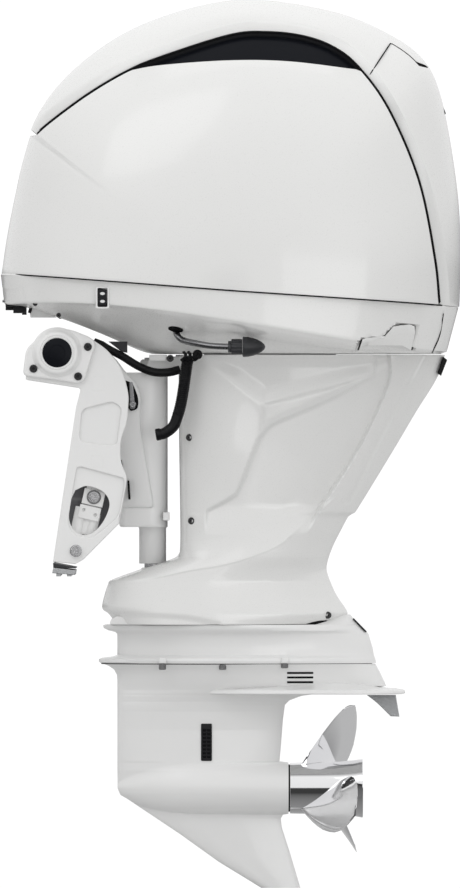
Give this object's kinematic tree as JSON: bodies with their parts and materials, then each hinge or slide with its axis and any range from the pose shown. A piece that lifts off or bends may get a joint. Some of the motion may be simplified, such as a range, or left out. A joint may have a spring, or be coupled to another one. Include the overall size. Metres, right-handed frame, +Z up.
{
  "type": "outboard motor",
  "caption": "Large outboard motor with a lift-off cowl, tilting and steering transom bracket, streamlined midsection, gearcase with skeg and a bladed propeller.",
  "frame": {"origin": "centre of the flat face that rests on top of the boat's transom", "axes": "+X aft, away from the boat, +Y to starboard, +Z up; the drive shaft is upright"},
  "size_m": [1.0089, 0.634, 1.9516],
  "materials": {
    "white_paint": "gloss white marine paint",
    "bracket_paint": "satin white paint over cast aluminium",
    "black_gloss": "gloss black moulded plastic",
    "black_matte": "matt black moulded plastic",
    "black_rubber": "black rubber",
    "shaft_steel": "ground steel",
    "polished_steel": "mirror polished stainless steel",
    "zinc": "bare cast zinc",
    "engine_iron": "painted cast metal",
    "housing_alloy": "cast aluminium"
  },
  "bodies": {
    "transom_bracket": {"clamp_bracket_port": "bracket_paint", "clamp_bracket_starboard": "bracket_paint", "bracket_cover_port": "bracket_paint", "bracket_cover_starboard": "bracket_paint", "tilt_cap_port": "black_gloss", "tilt_cap_starboard": "black_gloss", "tilt_tube": "shaft_steel", "steering_actuator_housing": "bracket_paint", "lower_tie_bolt": "shaft_steel", "transom_anode": "zinc", "trim_cylinder_port": "bracket_paint", "trim_cylinder_starboard": "bracket_paint", "trim_ram_port": "shaft_steel", "trim_ram_starboard": "shaft_steel"},
    "swivel": {"swivel_bracket": "bracket_paint"},
    "tilt_lock": {"tilt_lock_lever": "black_matte"},
    "tilt_cylinder_body": {"tilt_cylinder": "bracket_paint"},
    "tilt_rod_body": {"tilt_rod": "shaft_steel"},
    "motor": {"bottom_cowl": "white_paint", "cowl_seal": "black_rubber", "apron_port": "white_paint", "apron_starboard": "white_paint", "drive_housing": "housing_alloy", "upper_casing": "white_paint", "gearcase": "white_paint", "inlet_grille_port": "black_matte", "inlet_grille_starboard": "black_matte", "steering_shaft": "shaft_steel", "steering_arm": "bracket_paint", "lower_mount_yoke": "bracket_paint", "crankcase": "engine_iron", "cylinder_bank_port": "engine_iron", "cylinder_bank_starboard": "engine_iron", "intake_manifold": "black_matte", "starter_motor": "engine_iron", "water_pump_housing": "black_matte", "bearing_carrier": "housing_alloy", "flush_pipe": "shaft_steel", "drain_hose": "black_rubber", "wiring_harness": "black_rubber"},
    "top_cowl": {"cowl_side_shell": "white_paint", "cowl_crown": "white_paint", "cowl_rear_cap": "white_paint", "intake_duct": "black_gloss"},
    "latch_port": {"cowl_latch_port": "white_paint"},
    "latch_starboard": {"cowl_latch_starboard": "white_paint"},
    "driveline": {"crankshaft": "shaft_steel", "flywheel": "engine_iron", "drive_shaft": "shaft_steel", "pinion_gear": "shaft_steel", "pump_impeller": "black_rubber"},
    "propeller_body": {"propeller": "polished_steel", "propeller_shaft": "shaft_steel", "propeller_nut": "shaft_steel", "forward_gear": "shaft_steel"},
    "reverse_gear_body": {"reverse_gear": "shaft_steel"},
    "clutch": {"dog_clutch": "shaft_steel"},
    "trim_switch_body": {"trim_switch": "black_matte"},
    "flush_connector_body": {"flush_connector": "black_matte"},
    "trim_tab_body": {"trim_tab": "zinc"}
  },
  "joints": [
    {"name": "tilt", "type": "hinge", "parent": "transom_bracket", "child": "swivel", "pos_m": [0.0086, 0, 0.0678], "axis": [0, -1, 0], "range_deg": [-3, 67]},
    {"name": "steering", "type": "hinge", "parent": "swivel", "child": "motor", "pos_m": [0.217, 0, 0], "axis": [0, 0, 1], "range_deg": [-30, 30]},
    {"name": "cowl_lift", "type": "slide", "parent": "motor", "child": "top_cowl", "axis": [0, 0, 1], "range_m": [0, 0.65]},
    {"name": "latch_port_lift", "type": "hinge", "parent": "motor", "child": "latch_port", "pos_m": [0.74006, -0.26447, 0.12852], "axis": [0.8879, 0.4596, 0.0214], "range_deg": [-60, 0]},
    {"name": "latch_starboard_lift", "type": "hinge", "parent": "motor", "child": "latch_starboard", "pos_m": [0.74006, 0.26447, 0.12852], "axis": [0.8879, -0.4596, 0.0214], "range_deg": [0, 60]},
    {"name": "driveline_spin", "type": "hinge", "parent": "motor", "child": "driveline", "pos_m": [0.36, 0, 0], "axis": [0, 0, 1], "continuous": true},
    {"name": "propeller_spin", "type": "hinge", "parent": "motor", "child": "propeller_body", "pos_m": [0.36, 0, -0.889], "axis": [1, 0, 0], "continuous": true},
    {"name": "reverse_gear_spin", "type": "hinge", "parent": "motor", "child": "reverse_gear_body", "pos_m": [0.36, 0, -0.889], "axis": [1, 0, 0], "continuous": true},
    {"name": "clutch_shift", "type": "slide", "parent": "propeller_body", "child": "clutch", "axis": [1, 0, 0], "range_m": [0, 0.012]},
    {"name": "tilt_cylinder_swing", "type": "hinge", "parent": "transom_bracket", "child": "tilt_cylinder_body", "pos_m": [0.0497, 0, -0.3661], "axis": [0, -1, 0], "range_deg": [-0.2, 0.5]},
    {"name": "tilt_rod_travel", "type": "slide", "parent": "tilt_cylinder_body", "child": "tilt_rod_body", "axis": [0.1399, 0, 0.9902], "range_m": [-0.0062, 0.134]},
    {"name": "trim_switch_rock", "type": "hinge", "parent": "motor", "child": "trim_switch_body", "pos_m": [0.10669, -0.28573, 0.18853], "axis": [0.968, -0.1379, -0.2098], "range_deg": [-8, 8], "stiffness_Nm_per_rad": 0.3},
    {"name": "flush_connector_turn", "type": "hinge", "parent": "motor", "child": "flush_connector_body", "pos_m": [0.383, -0.23711, 0.0805], "axis": [-1, 0, 0], "range_deg": [0, 360]},
    {"name": "trim_tab_turn", "type": "hinge", "parent": "motor", "child": "trim_tab_body", "pos_m": [0.722, 0, -0.684], "axis": [0, 0, 1], "range_deg": [-20, 20]},
    {"name": "tilt_lock_swing", "type": "hinge", "parent": "swivel", "child": "tilt_lock", "pos_m": [0.172, -0.13, -0.006], "axis": [0, -1, 0], "range_deg": [-80, 0]}
  ],
  "couplings": [
    {"joint": "propeller_spin", "follows": "driveline_spin", "ratio": 0.57143},
    {"joint": "reverse_gear_spin", "follows": "driveline_spin", "ratio": -0.57143},
    {"joint": "tilt_cylinder_swing", "follows": "tilt", "ratio": 0.0046},
    {"joint": "tilt_rod_travel", "follows": "tilt", "m_per_rad": 0.1133}
  ]
}
